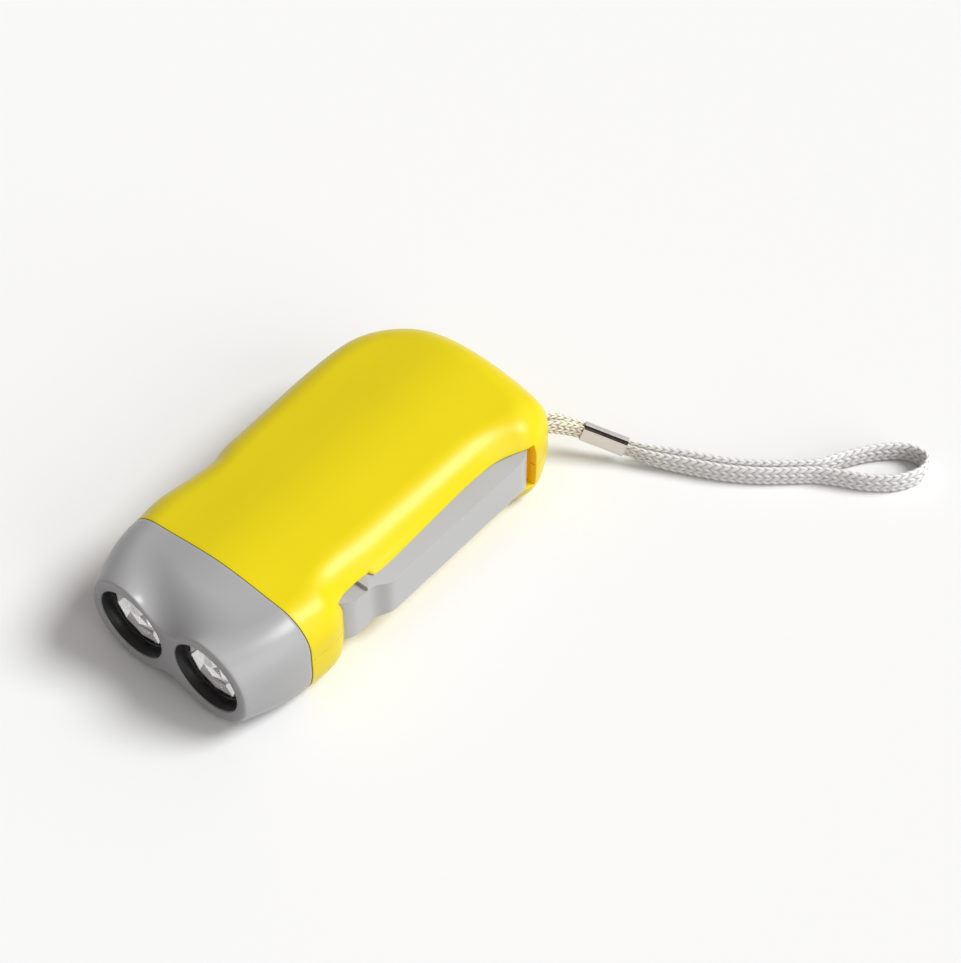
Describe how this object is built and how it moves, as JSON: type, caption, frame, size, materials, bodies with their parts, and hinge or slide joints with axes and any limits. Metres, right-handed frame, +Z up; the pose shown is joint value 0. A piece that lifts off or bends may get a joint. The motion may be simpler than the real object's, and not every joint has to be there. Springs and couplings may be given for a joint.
{
  "type": "hand press dynamo torch",
  "caption": "Hand-powered pocket torch: rounded two-part case with a paired-lamp head, a hinged squeeze lever that turns a geared dynamo, a slide switch and a braided wrist strap.",
  "frame": {"origin": "on the flat land of the lower shell, under the middle of the case", "axes": "+Z up from the table, the lamps look along -Y, the lever is on the +X side"},
  "size_m": [0.1197, 0.1568, 0.0269],
  "materials": {
    "yellow_shell": "satin moulded",
    "grey_head": "satin moulded",
    "pale_lever": "satin moulded",
    "black_plastic": "matt moulded",
    "white_plastic": "natural moulded",
    "clear_lens": "clear, stands for a clear plastic lens",
    "led_resin": "clear resin",
    "reflector_plating": "bright vacuum plating",
    "circuit_board": "lacquered board",
    "steel": "plain",
    "magnet": "dark ferrite",
    "copper_winding": "enamelled copper wire",
    "wire_red": "insulated wire",
    "wire_black": "insulated wire",
    "strap_braid": "braided grey and white tape",
    "clip_metal": "polished"
  },
  "bodies": {
    "case": {"lower_shell": "yellow_shell", "upper_shell": "yellow_shell", "head_bezel": "grey_head", "lamp_sleeve_left": "black_plastic", "lamp_sleeve_right": "black_plastic", "lens_left": "clear_lens", "lens_right": "clear_lens", "reflector_left": "reflector_plating", "reflector_right": "reflector_plating", "led_left": "led_resin", "led_right": "led_resin", "lamp_board": "circuit_board", "bobbin": "white_plastic", "gear_plate": "white_plastic", "lever_pin": "steel", "lever_spring": "steel", "drive_axle": "steel", "step_axle": "steel", "rotor_shaft": "steel", "stator_lower": "steel", "stator_upper": "steel", "plate_screw_1": "steel", "plate_screw_2": "steel", "plate_screw_3": "steel", "case_screw_1": "steel", "case_screw_2": "steel", "case_screw_3": "steel", "case_screw_4": "steel", "cell_1": "steel", "cell_2": "steel", "cell_3": "steel", "contact_lower": "steel", "contact_upper": "steel", "switch_body": "steel", "strap_post": "steel", "coil": "copper_winding", "wire_red": "wire_red", "wire_coil": "wire_red", "wire_black": "wire_black", "strap": "strap_braid", "strap_clip": "clip_metal"},
    "lever": {"lever": "pale_lever"},
    "drive_gear": {"drive_gear": "white_plastic"},
    "step_gear": {"step_gear": "white_plastic"},
    "rotor": {"rotor_hub": "white_plastic", "rotor_magnet": "magnet"},
    "switch": {"switch_knob": "black_plastic"}
  },
  "joints": [
    {"name": "lever_swing", "type": "hinge", "parent": "case", "child": "lever", "pos_m": [0.0188, -0.0185, 0.0133], "axis": [0, 0, -1], "range_deg": [0, 26]},
    {"name": "drive_gear_spin", "type": "hinge", "parent": "case", "child": "drive_gear", "pos_m": [0.00566, 0.00622, 0.0133], "axis": [0, 0, 1], "range_deg": [0, 95.4]},
    {"name": "step_gear_spin", "type": "hinge", "parent": "case", "child": "step_gear", "pos_m": [-0.0089, 0.0173, 0.0133], "axis": [0, 0, 1], "range_deg": [-238.4, 0]},
    {"name": "rotor_spin", "type": "hinge", "parent": "case", "child": "rotor", "pos_m": [0.00102, 0.02731, 0.0133], "axis": [0, 0, 1], "range_deg": [0, 858.5]},
    {"name": "switch_slide", "type": "slide", "parent": "case", "child": "switch", "axis": [0, -1, 0], "range_m": [0, 0.003]}
  ],
  "couplings": [
    {"joint": "drive_gear_spin", "follows": "lever_swing", "ratio": 3.6667},
    {"joint": "step_gear_spin", "follows": "lever_swing", "ratio": -9.1667},
    {"joint": "rotor_spin", "follows": "lever_swing", "ratio": 33}
  ]
}
